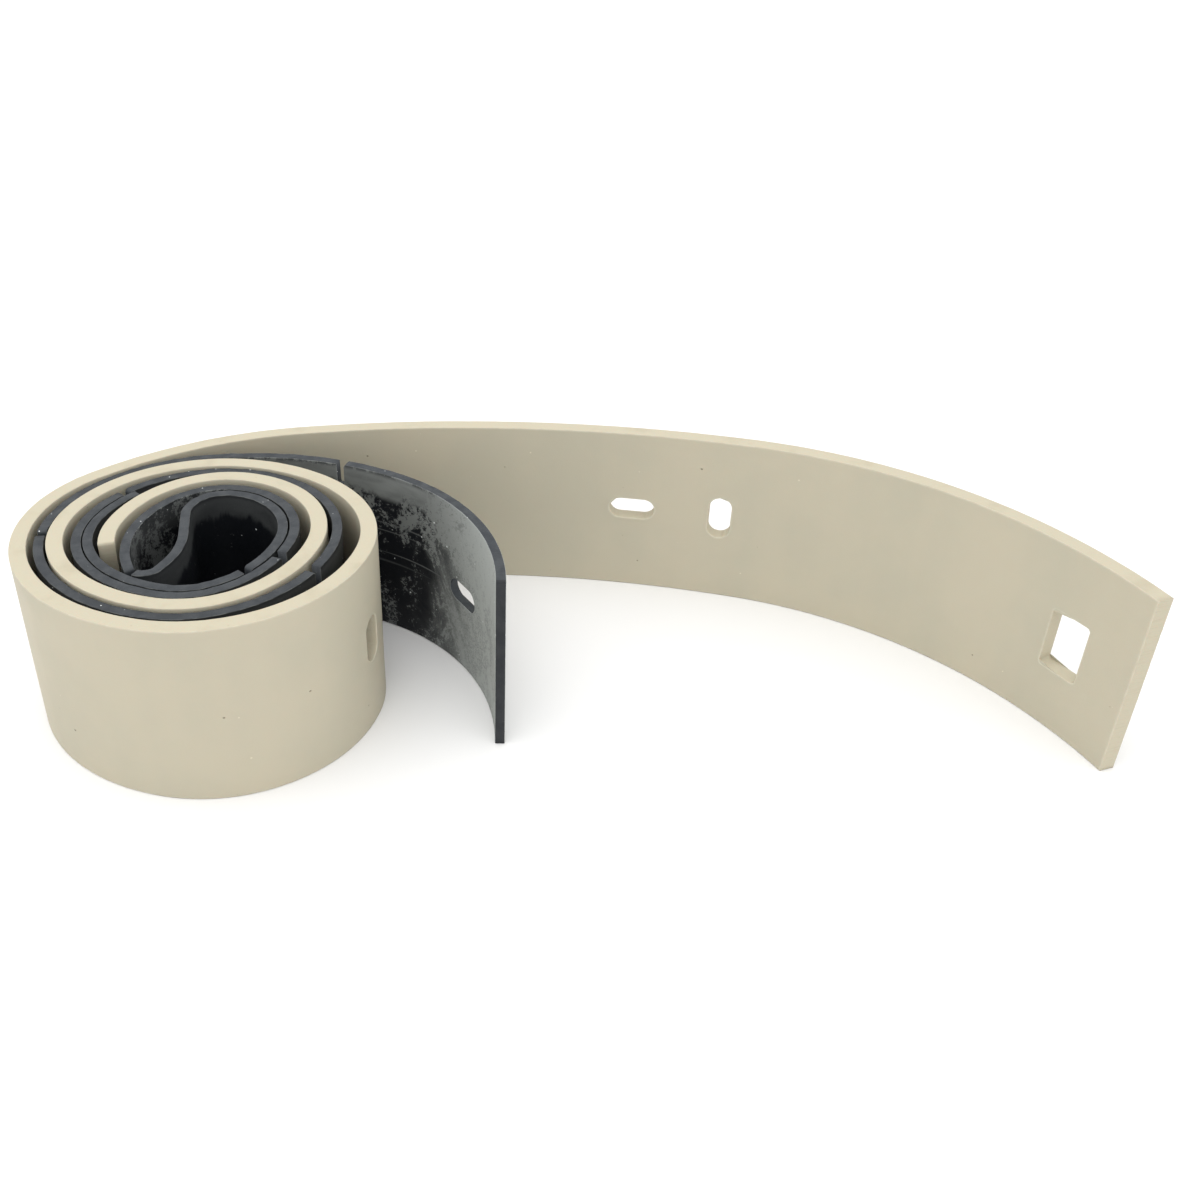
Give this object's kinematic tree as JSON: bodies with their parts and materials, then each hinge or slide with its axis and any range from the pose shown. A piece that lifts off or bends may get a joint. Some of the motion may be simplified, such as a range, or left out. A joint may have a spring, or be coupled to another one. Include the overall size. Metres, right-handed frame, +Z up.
{
  "type": "rubber squeegee blade pair",
  "caption": "Flat rubber squeegee blades for a floor cleaning machine, thick tan and thin black, rolled up together on edge with their free tails standing open.",
  "frame": {"origin": "centre of the whole pair's footprint, on the floor that the blades stand on", "axes": "+Z up along the blades' height, +X along the long tail from the roll to the free end, +Y towards the outside of the tail's curve"},
  "size_m": [0.3998, 0.1738, 0.076],
  "materials": {
    "tan_rubber": "matte, cut edges lighter",
    "black_rubber": "matte with a bloom of grey dust"
  },
  "bodies": {
    "rear_blade": {"rear_blade": "tan_rubber"},
    "front_blade": {"front_blade": "black_rubber"}
  },
  "joints": [
    {"name": "front_blade_lift", "type": "slide", "parent": "rear_blade", "child": "front_blade", "axis": [0, 0, 1], "range_m": [0, 0.08]}
  ]
}
